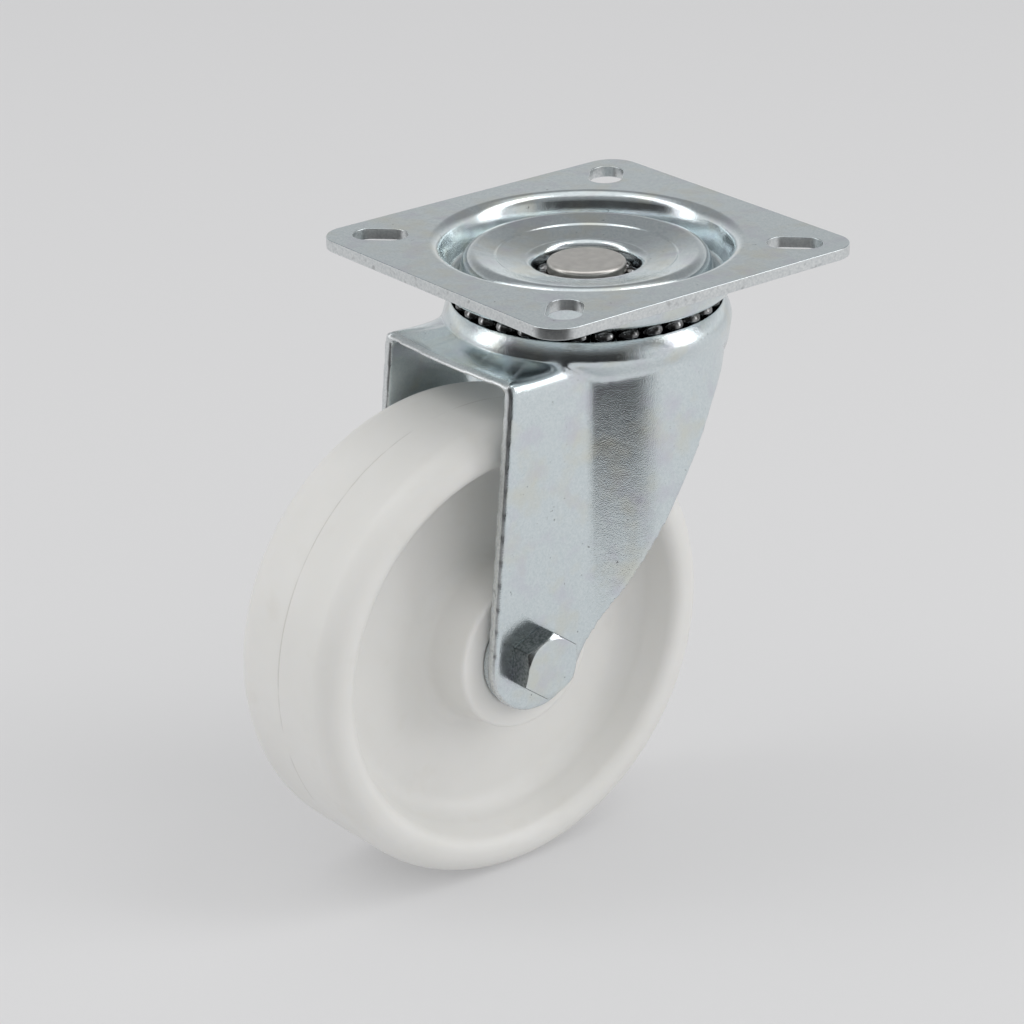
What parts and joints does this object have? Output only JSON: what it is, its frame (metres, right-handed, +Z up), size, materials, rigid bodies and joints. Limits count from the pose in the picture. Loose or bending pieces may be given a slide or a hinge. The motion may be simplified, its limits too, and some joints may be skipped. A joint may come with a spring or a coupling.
{
  "type": "swivel castor wheel",
  "caption": "Swivel castor: pressed steel top plate with slots, ball-bearing swivel head, pressed fork and a white moulded plastic wheel on a bolted axle.",
  "frame": {"origin": "middle of the top plate's top face, on the swivel axis", "axes": "+Z up out of the top face, +X ahead (the wheel trails towards -X), axle along Y with the bolt's head at -Y"},
  "size_m": [0.1525, 0.098, 0.1605],
  "materials": {
    "zinc_sheet": "zinc-plated pressed sheet, fine grain",
    "ball_steel": "polished, greased",
    "pin_steel": "turned, thin warm plating",
    "fastener_steel": "bright zinc plating",
    "bearing_steel": "ground",
    "wheel_plastic": "satin off-white moulded plastic",
    "cage_plastic": "moulded",
    "cap_plastic": "moulded",
    "insert_plastic": "moulded"
  },
  "bodies": {
    "plate": {"top_plate": "zinc_sheet"},
    "fork_body": {"fork": "zinc_sheet", "kingpin": "pin_steel", "pin_washer": "bearing_steel", "axle_tube": "bearing_steel", "axle_bolt": "fastener_steel", "nut_washer": "fastener_steel", "lock_nut": "fastener_steel", "nut_insert": "insert_plastic", "near_washer": "bearing_steel", "far_washer": "bearing_steel"},
    "main_ball_ring": {"main_balls": "ball_steel"},
    "head_ball_ring": {"head_balls": "ball_steel"},
    "wheel_body": {"wheel": "wheel_plastic", "bearing_sleeve": "bearing_steel", "near_cap": "cap_plastic", "far_cap": "cap_plastic"},
    "roller_ring": {"roller_cage": "cage_plastic", "rollers": "bearing_steel"}
  },
  "joints": [
    {"name": "swivel", "type": "hinge", "parent": "plate", "child": "fork_body", "pos_m": [0, 0, -0.0154], "axis": [0, 0, 1], "continuous": true},
    {"name": "main_ball_orbit", "type": "hinge", "parent": "plate", "child": "main_ball_ring", "pos_m": [0, 0, -0.0154], "axis": [0, 0, 1], "continuous": true},
    {"name": "head_ball_orbit", "type": "hinge", "parent": "plate", "child": "head_ball_ring", "pos_m": [0, 0, -0.0106], "axis": [0, 0, 1], "continuous": true},
    {"name": "wheel_spin", "type": "hinge", "parent": "fork_body", "child": "wheel_body", "pos_m": [-0.039, 0, -0.098], "axis": [0, 1, 0], "continuous": true},
    {"name": "roller_orbit", "type": "hinge", "parent": "fork_body", "child": "roller_ring", "pos_m": [-0.039, 0, -0.098], "axis": [0, 1, 0], "continuous": true}
  ],
  "couplings": [
    {"joint": "main_ball_orbit", "follows": "swivel", "ratio": 0.5},
    {"joint": "head_ball_orbit", "follows": "swivel", "ratio": 0.5},
    {"joint": "roller_orbit", "follows": "wheel_spin", "ratio": 0.6048}
  ]
}
